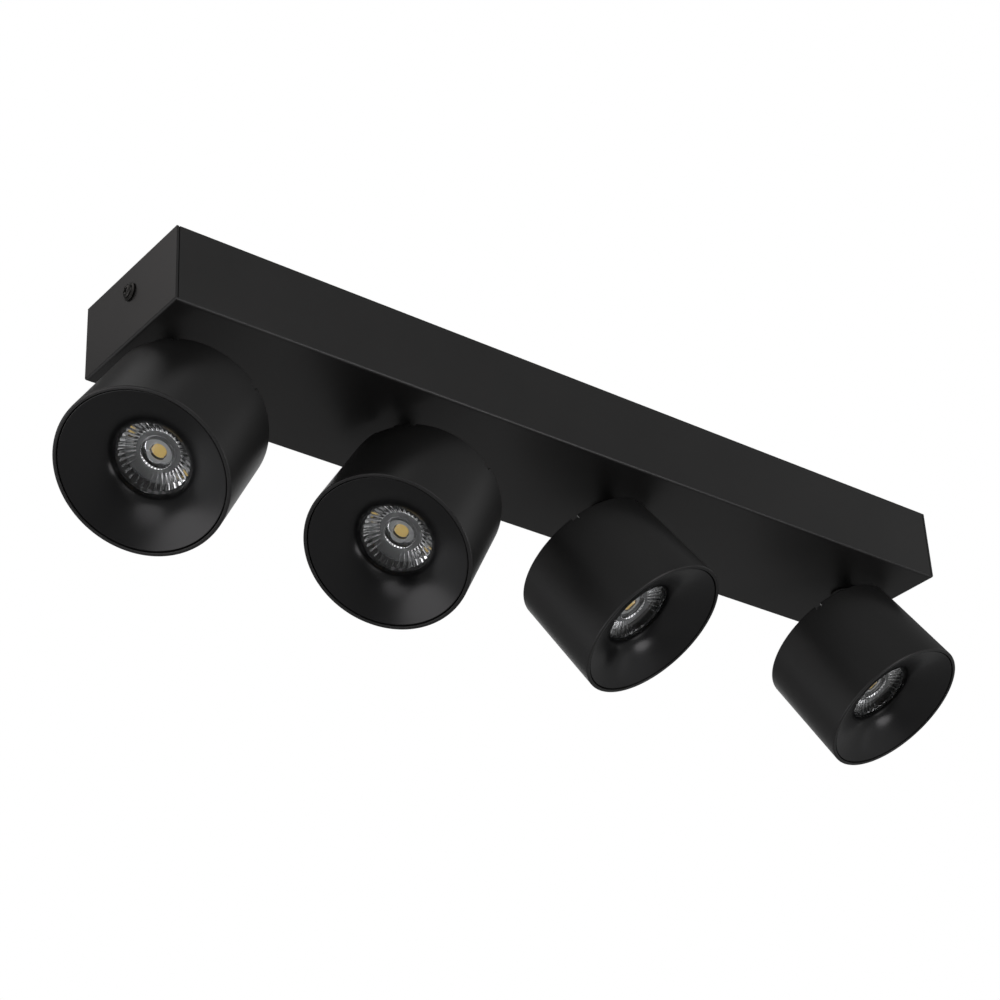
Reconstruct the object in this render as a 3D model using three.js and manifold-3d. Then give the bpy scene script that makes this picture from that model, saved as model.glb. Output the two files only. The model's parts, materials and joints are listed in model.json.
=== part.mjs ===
// Ceiling spot bar: a folded sheet-metal canopy with four adjustable cylindrical LED heads below it.
// Millimetres, +Z up. The origin is the middle of the face that lies on the ceiling, +X runs along
// the canopy, and everything is at or below z = 0.

import * as THREE from "three";
import { mergeVertices } from "three/addons/utils/BufferGeometryUtils.js";
import Module from "manifold-3d";

const wasm = await Module();
wasm.setup();

// ---------------------------------------------------------------------------------------------
// Driving dimensions
// ---------------------------------------------------------------------------------------------

const gap = 0.3;                  // air between two pieces that touch or turn on each other

// Canopy
const canopyLength = 480;
const canopyWidth = 80;
const canopyHeight = 40;
const sheetThickness = 1.2;
const foldRadius = 1.6;           // outside radius of the folded lower edges

// Heads along the canopy: the outer two are placed from its ends, the inner two share the span
const leftHeadMargin = 22;
const rightHeadMargin = 28;
const innerHeadShares = [0.307, 0.6];

// Direction that each head is aimed, in degrees: pan is counter-clockwise from +X seen from above,
// and tilt is away from straight down
const headPans = [204.5, 201, 306, 300];
const headTilts = [36.5, 36.5, 34, 32.5];
const mostTilt = 45;              // the rear edge still clears the canopy

// Mounting plate and what is fixed to it
const plateThickness = 2;
const plateSideGap = 7.8;         // open strip left along each long side for the wires
const plateTabWidth = 24;
const plateTabHeight = 20;
const ceilingSlotLength = 18;
const ceilingSlotWidth = 5;
const ceilingSlotSpacing = 192;
const cableEntryRadius = 10;
const cableEntryX = -30;
const cableClampX = -52;
const earthScrewX = -76;
const terminalX = 26;

// End screws
const screwRadius = 2;
const screwLength = 9;
const screwHeadRadius = 3.4;
const screwFlangeRadius = 4.5;
const screwDrop = 13.4;           // from the ceiling down to the screw's axis
const earthWasherRadius = 5;

// LED drivers
const driverLength = 92;
const driverWidth = 36;
const driverHeight = 20;
const driverEndGap = 34;          // from the canopy's end to the driver
const driverFootLength = 7;

// Swivel arm
const stemRadius = 5;             // threaded end inside the canopy
const stemRise = 10.8;            // from the canopy's floor up to the stem's top
const armRadius = 4;
const armBoreRadius = 2.4;        // wire way
const collarRadius = 8;
const collarThickness = 1;
const eyeWidth = 7;               // across the flats of the arm's lower end
const flatsRise = 9;              // how far the flats reach above the pin
const washerRadius = 9;
const washerThickness = 1;
const nutAcrossFlats = 17;
const nutHeight = 6;

// Head, measured along its own axis
const frontRadius = 41.2;
const shellTaper = 1.6;           // how much smaller the rear radius is
const shellWall = 1.8;
const shellRearEdge = 0.8;          // bevel round the rear edge
const shellFrontEdge = 0.5;
const pivotFromRear = 22;         // from the shell's rear edge forward to the pin
const swingClearance = 0.7;       // between the rear edge and the canopy at the most tilt
const capThickness = 2;
const capRecess = 1;
const notchDepth = 2.5;           // the arm's notch in the shell's rear edge
const armSlotClearance = 1.2;
const clipAngles = [21, 83, 277, 339];
const clipWidth = 3;
const clipThickness = 1.3;

// Light engine, from the pin forward
const pinRadius = 1.5;
const pinHeadRadius = 2.6;
const pinHeadThickness = 1;
const bracketThickness = 1.5;
const bracketCheekRadius = 6;
const bracketBaseHalf = 10;
const sinkThickness = 2;
const finCount = 12;
const finInnerRadius = 15;
const finThickness = 1.6;
const finTop = 14;                // above the pin
const boardRadius = 14;
const boardThickness = 1;
const emitterRadius = 4.4;
const emitterThickness = 0.5;
const collarBoreGap = 0.4;        // round the emitter, inside the collar that stands on the board
const emitterCollarHeight = 2.3;
const collarLensGap = 0.5;        // between that collar and the lens's cavity
const lensRadius = 17.7;          // the part of the lens that the baffle leaves open
const lensRim = 0.7;              // what the baffle covers
const lensRimThickness = 1.5;
const lensRearRadius = 10.4;
const lensHeight = 10.8;
const lensCavityRadius = 8;
const lensCavityDepth = 6.5;
const lensRecess = 14.6;          // from the shell's front edge back to the lens
const holderWall = 1.5;

// Baffle
const baffleThickness = 1.2;
const baffleRingGap = 0.35;       // fine gap between the baffle's rim and the shell
const baffleRimRecess = 0.4;
const baffleSkirt = 5;
const bellCurvePower = 2;         // 1 is a straight cone, larger is a stronger trumpet

// Roundness of the facets
const shellSegments = 28;
const smallSegments = 12;
const holeSegments = 8;
const bellFrontSteps = 4;
const bellBackSteps = 2;

// ---------------------------------------------------------------------------------------------
// Places worked out from the sizes above
// ---------------------------------------------------------------------------------------------

const innerLength = canopyLength - 2 * sheetThickness;
const innerWidth = canopyWidth - 2 * sheetThickness;
const floorTop = -canopyHeight + sheetThickness;
const plateLength = innerLength - 2 * gap;
const plateWidth = innerWidth - 2 * plateSideGap;
const underPlate = -plateThickness - gap;

const firstStation = -canopyLength / 2 + leftHeadMargin;
const lastStation = canopyLength / 2 - rightHeadMargin;
const headStations = [0, ...innerHeadShares, 1].map(
  (share) => firstStation + share * (lastStation - firstStation),
);

const rearRadius = frontRadius - shellTaper;
const steepest = THREE.MathUtils.degToRad(mostTilt);
const rearEdgeRise = pivotFromRear * Math.cos(steepest) + rearRadius * Math.sin(steepest);
const pivotZ = -canopyHeight - rearEdgeRise - swingClearance;

// Heights in a head's own frame: z = 0 is the pin and -z is the way the light goes
const rearZ = pivotFromRear;
const bracketBaseTop = -armRadius + 0.8;
const bracketBaseBottom = bracketBaseTop - bracketThickness;
const sinkTop = bracketBaseBottom - gap;
const sinkBottom = sinkTop - sinkThickness;
const boardTop = sinkBottom - gap;
const boardBottom = boardTop - boardThickness;
const emitterBottom = boardBottom - emitterThickness;
const lensRearZ = emitterBottom - gap;
const lensFaceZ = lensRearZ - lensHeight;
const frontZ = lensFaceZ - lensRecess;
const bellTopZ = lensFaceZ - gap;
const bellFrontZ = frontZ + baffleRimRecess;
const pinHole = pinRadius + gap;

function innerShellRadius(z) {
  const towardsFront = (rearZ - z) / (rearZ - frontZ);
  return rearRadius + towardsFront * shellTaper - shellWall;
}

// ---------------------------------------------------------------------------------------------
// Materials
// ---------------------------------------------------------------------------------------------

function finish(color, roughness, metalness, extra = {}) {
  return new THREE.MeshStandardMaterial({ color, roughness, metalness, ...extra });
}

const materials = {
  canopyBlack: finish(0x262525, 0.5, 0.1),
  headBlack: finish(0x1f1f20, 0.45, 0.1),
  baffleBlack: finish(0x18181a, 0.4, 0.1),
  plasticBlack: finish(0x1c1c1d, 0.6, 0),
  screwBlack: finish(0x1b1b1c, 0.35, 0.6),
  zincSteel: finish(0xb4b6b6, 0.4, 0.9),
  aluminium: finish(0xc4c6c8, 0.35, 0.9),
  boardWhite: finish(0xe6e2d2, 0.6, 0),
  driverWhite: finish(0xe9e8e4, 0.5, 0),
  rubber: finish(0x232323, 0.85, 0),
  lensClear: finish(0xf2f5f6, 0.05, 0, { transparent: true, opacity: 0.35 }),
};

// ---------------------------------------------------------------------------------------------
// Solids
// ---------------------------------------------------------------------------------------------

// A geometry as a manifold solid: shared corners merged and triangles with no area left out
function solid(geometry) {
  const bare = geometry.clone();
  bare.deleteAttribute("normal");
  bare.deleteAttribute("uv");
  const merged = mergeVertices(bare, 1e-4);
  const index = merged.index.array;
  const triangles = [];
  for (let i = 0; i < index.length; i += 3) {
    const [a, b, c] = [index[i], index[i + 1], index[i + 2]];
    if (a !== b && b !== c && c !== a) {
      triangles.push(a, b, c);
    }
  }
  return new wasm.Manifold(new wasm.Mesh({
    numProp: 3,
    vertProperties: Float32Array.from(merged.attributes.position.array),
    triVerts: Uint32Array.from(triangles),
  }));
}

function geometryOf(manifold) {
  const mesh = manifold.getMesh();
  const geometry = new THREE.BufferGeometry();
  geometry.setAttribute("position", new THREE.BufferAttribute(mesh.vertProperties.slice(), 3));
  geometry.setIndex(new THREE.BufferAttribute(mesh.triVerts.slice(), 1));
  geometry.computeVertexNormals();
  return geometry;
}

function join(...pieces) {
  return pieces.reduce((sum, piece) => sum.add(piece));
}

function cut(body, ...tools) {
  return tools.reduce((rest, tool) => rest.subtract(tool), body);
}

// Block between two corners
function block(low, high) {
  const size = low.map((value, axis) => high[axis] - value);
  const centre = low.map((value, axis) => (high[axis] + value) / 2);
  return solid(new THREE.BoxGeometry(...size).translate(...centre));
}

// Turned solid about Z. The outline is a list of [radius, z], anticlockwise, and it closes on itself.
function turned(outline, segments) {
  const points = [...outline, outline[0]].map(([radius, z]) => new THREE.Vector2(radius, z));
  return solid(new THREE.LatheGeometry(points, segments).rotateX(Math.PI / 2));
}

function rod(radius, zLow, zHigh, segments = smallSegments) {
  return turned([[0, zLow], [radius, zLow], [radius, zHigh], [0, zHigh]], segments);
}

// Flat outline in X and Y, with its holes, between two heights
function slab(shape, zLow, zHigh, curveSegments = 6) {
  const options = { depth: zHigh - zLow, bevelEnabled: false, curveSegments };
  return solid(new THREE.ExtrudeGeometry(shape, options).translate(0, 0, zLow));
}

function rectangle(width, height) {
  const shape = new THREE.Shape();
  shape.moveTo(-width / 2, -height / 2);
  shape.lineTo(width / 2, -height / 2);
  shape.lineTo(width / 2, height / 2);
  shape.lineTo(-width / 2, height / 2);
  shape.closePath();
  return shape;
}

// Slot with round ends along X, as a path from end to end
function slotPath(PathType, centreX, length, width) {
  const radius = width / 2;
  const reach = length / 2 - radius;
  const path = new PathType();
  path.absarc(centreX + reach, 0, radius, -Math.PI / 2, Math.PI / 2);
  path.absarc(centreX - reach, 0, radius, Math.PI / 2, 1.5 * Math.PI);
  path.closePath();
  return path;
}

function circlePath(PathType, x, y, radius) {
  const path = new PathType();
  path.absarc(x, y, radius, 0, 2 * Math.PI);
  return path;
}

// Outline of a box section whose two lower corners are round, top edge on y = 0
function foldedSection(width, height, radius) {
  const shape = new THREE.Shape();
  shape.moveTo(-width / 2, 0);
  shape.lineTo(-width / 2, -height + radius);
  shape.absarc(-width / 2 + radius, -height + radius, radius, Math.PI, 1.5 * Math.PI);
  shape.lineTo(width / 2 - radius, -height);
  shape.absarc(width / 2 - radius, -height + radius, radius, 1.5 * Math.PI, 2 * Math.PI);
  shape.lineTo(width / 2, 0);
  shape.closePath();
  return shape;
}

// Box with its top at z = 0 and its lower edges round on all four sides
function foldedBlock(length, width, height, radius) {
  const options = { bevelEnabled: false, curveSegments: 4 };
  const across = new THREE.ExtrudeGeometry(
    foldedSection(width, height, radius), { ...options, depth: length },
  );
  across.rotateX(Math.PI / 2).rotateZ(Math.PI / 2).translate(-length / 2, 0, 0);
  const along = new THREE.ExtrudeGeometry(
    foldedSection(length, height, radius), { ...options, depth: width },
  );
  along.rotateX(Math.PI / 2).translate(0, width / 2, 0);
  return solid(across).intersect(solid(along));
}

// ---------------------------------------------------------------------------------------------
// Canopy pieces
// ---------------------------------------------------------------------------------------------

function canopyCover() {
  const outside = foldedBlock(canopyLength, canopyWidth, canopyHeight, foldRadius);
  const inside = foldedBlock(
    innerLength, innerWidth, canopyHeight - sheetThickness + 1, foldRadius - sheetThickness,
  ).translate([0, 0, 1]);
  const stemHoles = headStations.map((x) =>
    rod(stemRadius + gap, -canopyHeight - 1, floorTop + 1).translate([x, 0, 0]));
  const screwHoles = rod(screwRadius + gap, -canopyLength, canopyLength, holeSegments)
    .rotate([0, 90, 0])
    .translate([0, 0, -screwDrop]);
  return cut(outside, inside, ...stemHoles, screwHoles);
}

function mountingPlate() {
  const outline = rectangle(plateLength, plateWidth);
  for (const side of [-1, 1]) {
    const slotX = side * ceilingSlotSpacing / 2;
    outline.holes.push(slotPath(THREE.Path, slotX, ceilingSlotLength, ceilingSlotWidth));
  }
  outline.holes.push(circlePath(THREE.Path, cableEntryX, 0, cableEntryRadius));
  outline.holes.push(circlePath(THREE.Path, earthScrewX, 0, screwRadius + gap));
  const plate = slab(outline, -plateThickness, 0);
  const tabs = [-1, 1].map((side) => {
    const outer = side * plateLength / 2;
    const inner = outer - side * plateThickness;
    return block(
      [Math.min(outer, inner), -plateTabWidth / 2, -plateTabHeight],
      [Math.max(outer, inner), plateTabWidth / 2, -plateThickness / 2],
    );
  });
  const screwHoles = rod(screwRadius + gap, -canopyLength, canopyLength, holeSegments)
    .rotate([0, 90, 0])
    .translate([0, 0, -screwDrop]);
  return cut(join(plate, ...tabs), screwHoles);
}

// Pan-head screw with a flange, its head towards +Z and the underside of the flange at z = 0
function flangedScrew() {
  const body = turned([
    [0, -screwLength],
    [screwRadius, -screwLength],
    [screwRadius, 0],
    [screwFlangeRadius, 0],
    [screwFlangeRadius, 0.6],
    [screwHeadRadius, 1],
    [screwHeadRadius, 1.9],
    [screwHeadRadius - 0.9, 2.6],
    [0, 2.6],
  ], smallSegments);
  const crossRecess = [
    block([-1.9, -0.4, 1.3], [1.9, 0.4, 3]),
    block([-0.4, -1.9, 1.3], [0.4, 1.9, 3]),
  ];
  return cut(body, ...crossRecess);
}

function driver() {
  const body = slab(rectangle(driverLength, driverWidth), -driverHeight, 0);
  const feet = block(
    [-driverLength / 2 - driverFootLength, -driverWidth / 3, -2],
    [driverLength / 2 + driverFootLength, driverWidth / 3, 0],
  );
  const footHoles = [-1, 1].map((side) =>
    rod(screwRadius, -3, 1, holeSegments).translate([side * (driverLength + driverFootLength) / 2, 0, 0]));
  const wireWays = [-1, 1].map((side) => block(
    [side * driverLength / 2 - 3, -driverWidth / 4, -driverHeight + 5],
    [side * driverLength / 2 + 3, driverWidth / 4, -driverHeight + 9],
  ));
  return cut(join(body, feet), ...footHoles, ...wireWays);
}

function terminalBlock() {
  const length = 30;
  const width = 18;
  const height = 15;
  const poleSpacing = 9;
  const body = block([-length / 2, -width / 2, -height], [length / 2, width / 2, 0]);
  const ways = [-1, 0, 1].flatMap((pole) => [
    rod(2, -width, width, holeSegments).rotate([90, 0, 0]).translate([pole * poleSpacing, 0, -5]),
    rod(2, -height - 1, -5, holeSegments).translate([pole * poleSpacing, 0, 0]),
  ]);
  return cut(body, ...ways);
}

// Sleeve in the plate's cable entry with a lip under the plate
function cableGrommet() {
  const boreRadius = cableEntryRadius / 2;
  const lipRadius = cableEntryRadius + 3;
  return turned([
    [boreRadius, underPlate - 2.5],
    [lipRadius, underPlate - 2.5],
    [lipRadius, underPlate],
    [cableEntryRadius - gap, underPlate],
    [cableEntryRadius - gap, -gap],
    [boreRadius, -gap],
  ], smallSegments);
}

// Saddle that clamps the cable's sheath under the plate
function cableClamp() {
  const archRadius = 5;
  const strap = 1.6;
  const halfWidth = 13;
  const outline = new THREE.Shape();
  outline.moveTo(-halfWidth, 0);
  outline.lineTo(-archRadius, 0);
  outline.absarc(0, 0, archRadius, Math.PI, 2 * Math.PI);
  outline.lineTo(halfWidth, 0);
  outline.lineTo(halfWidth, -strap);
  outline.lineTo(archRadius + strap, -strap);
  outline.absarc(0, 0, archRadius + strap, -0.25, -Math.PI + 0.25, true);
  outline.lineTo(-archRadius - strap, -strap);
  outline.lineTo(-halfWidth, -strap);
  outline.closePath();
  return slab(outline, -4, 4).rotate([90, 0, 90]);
}

function earthScrew() {
  const headHeight = 3;
  return turned([
    [0, underPlate - 1 - headHeight],
    [screwHeadRadius, underPlate - 1 - headHeight],
    [screwHeadRadius, underPlate - 1],
    [earthWasherRadius, underPlate - 1],
    [earthWasherRadius, underPlate],
    [screwRadius, underPlate],
    [screwRadius, -gap],
    [0, -gap],
  ], smallSegments);
}

// ---------------------------------------------------------------------------------------------
// Swivel pieces: z as in the canopy, x towards the side that the head is tipped to
// ---------------------------------------------------------------------------------------------

function swivelArm() {
  const collarTop = -canopyHeight - gap;
  const stem = turned([
    [0, pivotZ + flatsRise - 1],
    [armRadius, pivotZ + flatsRise - 1],
    [armRadius, collarTop - collarThickness],
    [collarRadius, collarTop - collarThickness],
    [collarRadius, collarTop],
    [stemRadius, collarTop],
    [stemRadius, floorTop + stemRise],
    [0, floorTop + stemRise],
  ], smallSegments);
  const eyeOutline = new THREE.Shape();
  eyeOutline.absarc(0, 0, armRadius, Math.PI, 2 * Math.PI);
  eyeOutline.lineTo(armRadius, flatsRise);
  eyeOutline.lineTo(-armRadius, flatsRise);
  eyeOutline.closePath();
  const eye = slab(eyeOutline, -eyeWidth / 2, eyeWidth / 2)
    .rotate([90, 0, 0])
    .translate([0, 0, pivotZ]);
  const wireWayLow = pivotZ + flatsRise + 3;
  const wireWay = rod(armBoreRadius, wireWayLow, floorTop + stemRise + 1, holeSegments);
  const wireWindow = block(
    [-armRadius - 1, -armBoreRadius, wireWayLow + 1],
    [0, armBoreRadius, wireWayLow + 9],
  );
  const pinWay = rod(pinHole, -eyeWidth, eyeWidth, holeSegments).rotate([90, 0, 0]).translate([0, 0, pivotZ]);
  return cut(join(stem, eye), wireWay, wireWindow, pinWay);
}

function frictionWasher() {
  const low = floorTop + gap;
  const high = low + washerThickness;
  const bore = stemRadius + gap;
  return turned([[bore, low], [washerRadius, low], [washerRadius, high], [bore, high]], smallSegments);
}

function stemNut() {
  const low = floorTop + washerThickness + 2 * gap;
  const cornerRadius = nutAcrossFlats / Math.sqrt(3);
  const outline = new THREE.Shape();
  for (let corner = 0; corner < 6; corner += 1) {
    const angle = corner * Math.PI / 3;
    const point = [cornerRadius * Math.cos(angle), cornerRadius * Math.sin(angle)];
    if (corner === 0) {
      outline.moveTo(...point);
    } else {
      outline.lineTo(...point);
    }
  }
  outline.closePath();
  outline.holes.push(circlePath(THREE.Path, 0, 0, stemRadius + gap));
  return slab(outline, low, low + nutHeight);
}

// ---------------------------------------------------------------------------------------------
// Head pieces: z = 0 at the pin, light towards -z, x towards the side that the head is tipped to
// ---------------------------------------------------------------------------------------------

function clipBlock(width, radiusLow, radiusHigh, zLow, zHigh, angle) {
  return block([radiusLow, -width / 2, zLow], [radiusHigh, width / 2, zHigh]).rotate([0, 0, angle]);
}

function shell() {
  const innerRear = innerShellRadius(rearZ);
  const innerFront = innerShellRadius(frontZ);
  const tube = turned([
    [innerFront, frontZ],
    [frontRadius - shellFrontEdge, frontZ],
    [frontRadius, frontZ + shellFrontEdge],
    [rearRadius, rearZ - shellRearEdge],
    [rearRadius - shellRearEdge, rearZ],
    [innerRear, rearZ],
  ], shellSegments);
  const notchWidth = 2 * (armRadius + armSlotClearance);
  const armNotch = clipBlock(notchWidth, innerRear - 2, frontRadius, rearZ - notchDepth, rearZ + 1, 0);
  const clipFloor = rearZ - capRecess - clipThickness - gap;
  const clipNotches = clipAngles.map((angle) => clipBlock(
    clipWidth + 2 * gap, innerRear - 2, frontRadius, clipFloor, rearZ + 1, angle,
  ));
  return cut(tube, armNotch, ...clipNotches);
}

function rearCap() {
  const top = rearZ - capRecess;
  const radius = innerShellRadius(top) - gap;
  const disc = rod(radius, top - capThickness, top, shellSegments);
  const clips = clipAngles.map((angle) => clipBlock(
    clipWidth, radius - 2, radius + gap + shellWall / 2, top - clipThickness, top, angle,
  ));
  const slotRadius = armRadius + armSlotClearance;
  const slotEnd = radius + 2 * slotRadius;
  const slot = slab(
    slotPath(THREE.Shape, (slotEnd - slotRadius) / 2, slotEnd + slotRadius, 2 * slotRadius),
    top - capThickness - 1, top + 1,
  );
  return cut(join(disc, ...clips), slot);
}

function tiltPin() {
  const cheekFace = eyeWidth / 2 + gap + bracketThickness + gap;
  const end = cheekFace + pinHeadThickness;
  return turned([
    [0, -end],
    [pinHeadRadius, -end],
    [pinHeadRadius, -cheekFace],
    [pinRadius, -cheekFace],
    [pinRadius, cheekFace],
    [pinHeadRadius, cheekFace],
    [pinHeadRadius, end],
    [0, end],
  ], smallSegments).rotate([90, 0, 0]);
}

// Base on the heat sink with two cheeks beside the arm's eye, which dips into the base's opening
function pivotBracket() {
  const openHalf = eyeWidth / 2 + gap;
  const half = bracketBaseHalf;
  const base = block([-half, -half, bracketBaseBottom], [half, half, bracketBaseTop]);
  const opening = block(
    [-armRadius - 1, -openHalf, bracketBaseBottom - 1],
    [armRadius + 1, openHalf, bracketBaseTop + 1],
  );
  const cheekOutline = new THREE.Shape();
  cheekOutline.moveTo(-bracketCheekRadius, bracketBaseBottom);
  cheekOutline.lineTo(bracketCheekRadius, bracketBaseBottom);
  cheekOutline.lineTo(bracketCheekRadius, 0);
  cheekOutline.absarc(0, 0, bracketCheekRadius, 0, Math.PI);
  cheekOutline.closePath();
  cheekOutline.holes.push(circlePath(THREE.Path, 0, 0, pinHole));
  const cheeks = [-1, 1].map((side) => {
    const middle = side * (openHalf + bracketThickness / 2);
    return slab(cheekOutline, middle - bracketThickness / 2, middle + bracketThickness / 2)
      .rotate([90, 0, 0]);
  });
  return join(cut(base, opening), ...cheeks);
}

function heatSink() {
  const radius = innerShellRadius(sinkTop) - gap;
  const disc = rod(radius, sinkBottom, sinkTop, shellSegments);
  const fins = [];
  for (let index = 1; index < finCount; index += 1) {
    const fin = block(
      [finInnerRadius, -finThickness / 2, sinkTop - 1],
      [radius - shellWall, finThickness / 2, finTop],
    );
    fins.push(fin.rotate([0, 0, index * 360 / finCount]));
  }
  return join(disc, ...fins);
}

// Round board with its light-emitting disc, and a collar round the disc that stands in the lens's cavity
function ledBoard() {
  const collarBore = emitterRadius + collarBoreGap;
  const collarOutside = lensCavityRadius - collarLensGap;
  const collarBottom = boardBottom - emitterCollarHeight;
  return turned([
    [0, emitterBottom],
    [emitterRadius, emitterBottom],
    [emitterRadius, boardBottom],
    [collarBore, boardBottom],
    [collarBore, collarBottom],
    [collarOutside, collarBottom],
    [collarOutside, boardBottom],
    [boardRadius, boardBottom],
    [boardRadius, boardTop],
    [0, boardTop],
  ], smallSegments);
}

function lens() {
  const rimRadius = lensRadius + lensRim;
  return turned([
    [0, lensFaceZ],
    [rimRadius, lensFaceZ],
    [rimRadius, lensFaceZ + lensRimThickness],
    [lensRearRadius, lensRearZ],
    [lensCavityRadius, lensRearZ],
    [lensCavityRadius, lensRearZ - lensCavityDepth],
    [0, lensRearZ - lensCavityDepth],
  ], shellSegments);
}

// Ring round the board and the lens
function lensHolder() {
  const rimRadius = lensRadius + lensRim + gap;
  const boardWay = Math.min(boardRadius + gap, rimRadius);
  const rimRear = lensFaceZ + lensRimThickness;
  const coneRise = (lensRearZ - rimRear) / (lensRadius + lensRim - lensRearRadius);
  const coneZ = rimRear + coneRise * (rimRadius - boardWay) + 2 * gap;
  return turned([
    [rimRadius, lensFaceZ + gap],
    [rimRadius + holderWall, lensFaceZ + gap],
    [rimRadius + holderWall, boardTop],
    [boardWay, boardTop],
    [boardWay, coneZ],
    [rimRadius, rimRear + gap],
  ], shellSegments);
}

// Point on the bell's front face, from 0 at the lens to 1 at the rim, moved back by an offset
function bellPoint(share, rimRadius, offset) {
  const flare = rimRadius - lensRadius;
  const depth = bellTopZ - bellFrontZ;
  const slope = flare * bellCurvePower * share ** (bellCurvePower - 1);
  const length = Math.hypot(slope, depth);
  return [
    lensRadius + flare * share ** bellCurvePower + offset * depth / length,
    bellTopZ - depth * share + offset * slope / length,
  ];
}

// Bell mouth from the lens out to the shell's rim, with a skirt inside the shell
function baffle() {
  const rimRadius = innerShellRadius(frontZ) - baffleRingGap;
  const front = [];
  for (let step = 0; step <= bellFrontSteps; step += 1) {
    front.push(bellPoint(step / bellFrontSteps, rimRadius, 0));
  }
  const back = [];
  for (let step = bellBackSteps - 1; step >= 0; step -= 1) {
    back.push(bellPoint(step / bellBackSteps, rimRadius, baffleThickness));
  }
  const skirtTop = bellFrontZ + baffleSkirt;
  const skirtRadius = innerShellRadius(skirtTop) - baffleRingGap;
  return turned([
    ...front,
    [skirtRadius, skirtTop],
    [skirtRadius - baffleThickness, skirtTop],
    [skirtRadius - baffleThickness, bellFrontZ + baffleThickness * 1.5],
    ...back,
  ], shellSegments);
}

// ---------------------------------------------------------------------------------------------
// Assembly
// ---------------------------------------------------------------------------------------------

function named(name, manifold, material) {
  const mesh = new THREE.Mesh(geometryOf(manifold), material.clone());
  mesh.name = name;
  return mesh;
}

function canopyGroup() {
  const group = new THREE.Group();
  group.add(named("canopy_cover", canopyCover(), materials.canopyBlack));
  group.add(named("mounting_plate", mountingPlate(), materials.zincSteel));
  for (const [side, word] of [[-1, "left"], [1, "right"]]) {
    const screw = named(`end_screw_${word}`, flangedScrew(), materials.screwBlack);
    screw.rotation.y = side * Math.PI / 2;
    screw.position.set(side * (canopyLength / 2 + gap), 0, -screwDrop);
    group.add(screw);
    const ledDriver = named(`driver_${word}`, driver(), materials.driverWhite);
    ledDriver.position.set(
      side * (canopyLength / 2 - driverEndGap - driverLength / 2), 0, underPlate,
    );
    group.add(ledDriver);
  }
  const terminal = named("terminal_block", terminalBlock(), materials.driverWhite);
  terminal.position.set(terminalX, 0, underPlate);
  group.add(terminal);
  const grommet = named("cable_grommet", cableGrommet(), materials.rubber);
  grommet.position.x = cableEntryX;
  group.add(grommet);
  const clamp = named("cable_clamp", cableClamp(), materials.plasticBlack);
  clamp.position.set(cableClampX, 0, underPlate);
  group.add(clamp);
  const earth = named("earth_screw", earthScrew(), materials.zincSteel);
  earth.position.x = earthScrewX;
  group.add(earth);
  return group;
}

function headGroup(number, tilt) {
  const group = new THREE.Group();
  group.position.z = pivotZ;
  group.rotation.y = -THREE.MathUtils.degToRad(tilt);
  group.add(named(`tilt_pin_${number}`, tiltPin(), materials.zincSteel));
  group.add(named(`pivot_bracket_${number}`, pivotBracket(), materials.zincSteel));
  group.add(named(`heat_sink_${number}`, heatSink(), materials.aluminium));
  group.add(named(`led_board_${number}`, ledBoard(), materials.boardWhite));
  group.add(named(`lens_${number}`, lens(), materials.lensClear));
  group.add(named(`lens_holder_${number}`, lensHolder(), materials.plasticBlack));
  group.add(named(`baffle_${number}`, baffle(), materials.baffleBlack));
  group.add(named(`shell_${number}`, shell(), materials.headBlack));
  group.add(named(`rear_cap_${number}`, rearCap(), materials.headBlack));
  return group;
}

function swivelGroup(number, station, pan, tilt) {
  const group = new THREE.Group();
  group.position.x = station;
  group.rotation.z = THREE.MathUtils.degToRad(pan);
  group.add(named(`swivel_arm_${number}`, swivelArm(), materials.headBlack));
  group.add(named(`friction_washer_${number}`, frictionWasher(), materials.zincSteel));
  group.add(named(`stem_nut_${number}`, stemNut(), materials.zincSteel));
  group.add(headGroup(number, tilt));
  return group;
}

const fixture = new THREE.Group();
fixture.add(canopyGroup());
headStations.forEach((station, index) => {
  fixture.add(swivelGroup(index + 1, station, headPans[index], headTilts[index]));
});

export default fixture;
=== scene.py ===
import json
import math

import bmesh
import bpy
from mathutils import Matrix, Vector


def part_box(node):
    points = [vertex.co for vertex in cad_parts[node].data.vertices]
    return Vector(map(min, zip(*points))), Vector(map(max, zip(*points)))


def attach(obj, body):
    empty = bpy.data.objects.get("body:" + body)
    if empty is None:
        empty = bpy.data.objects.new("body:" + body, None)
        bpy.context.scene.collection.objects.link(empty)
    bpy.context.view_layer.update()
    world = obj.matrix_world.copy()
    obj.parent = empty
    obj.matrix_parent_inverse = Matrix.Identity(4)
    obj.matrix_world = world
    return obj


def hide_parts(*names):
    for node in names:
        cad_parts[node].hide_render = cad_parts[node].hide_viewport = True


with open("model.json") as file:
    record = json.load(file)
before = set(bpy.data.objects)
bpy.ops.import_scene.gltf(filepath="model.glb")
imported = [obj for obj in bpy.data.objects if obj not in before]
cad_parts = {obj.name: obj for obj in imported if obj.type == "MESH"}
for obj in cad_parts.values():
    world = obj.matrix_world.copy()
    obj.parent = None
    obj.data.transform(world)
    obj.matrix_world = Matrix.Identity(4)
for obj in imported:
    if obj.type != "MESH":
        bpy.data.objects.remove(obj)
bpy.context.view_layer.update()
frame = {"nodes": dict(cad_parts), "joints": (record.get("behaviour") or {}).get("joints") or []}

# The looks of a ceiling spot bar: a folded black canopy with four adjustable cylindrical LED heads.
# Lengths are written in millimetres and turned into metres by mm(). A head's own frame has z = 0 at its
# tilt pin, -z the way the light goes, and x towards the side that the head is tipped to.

HEADS = (1, 2, 3, 4)
TURN = 2 * math.pi


def mm(value):
    return value / 1000


# ---------------------------------------------------------------------------------------------
# Sizes that the CAD nodes share with the pieces that stand for them
# ---------------------------------------------------------------------------------------------

GAP = 0.3

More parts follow.
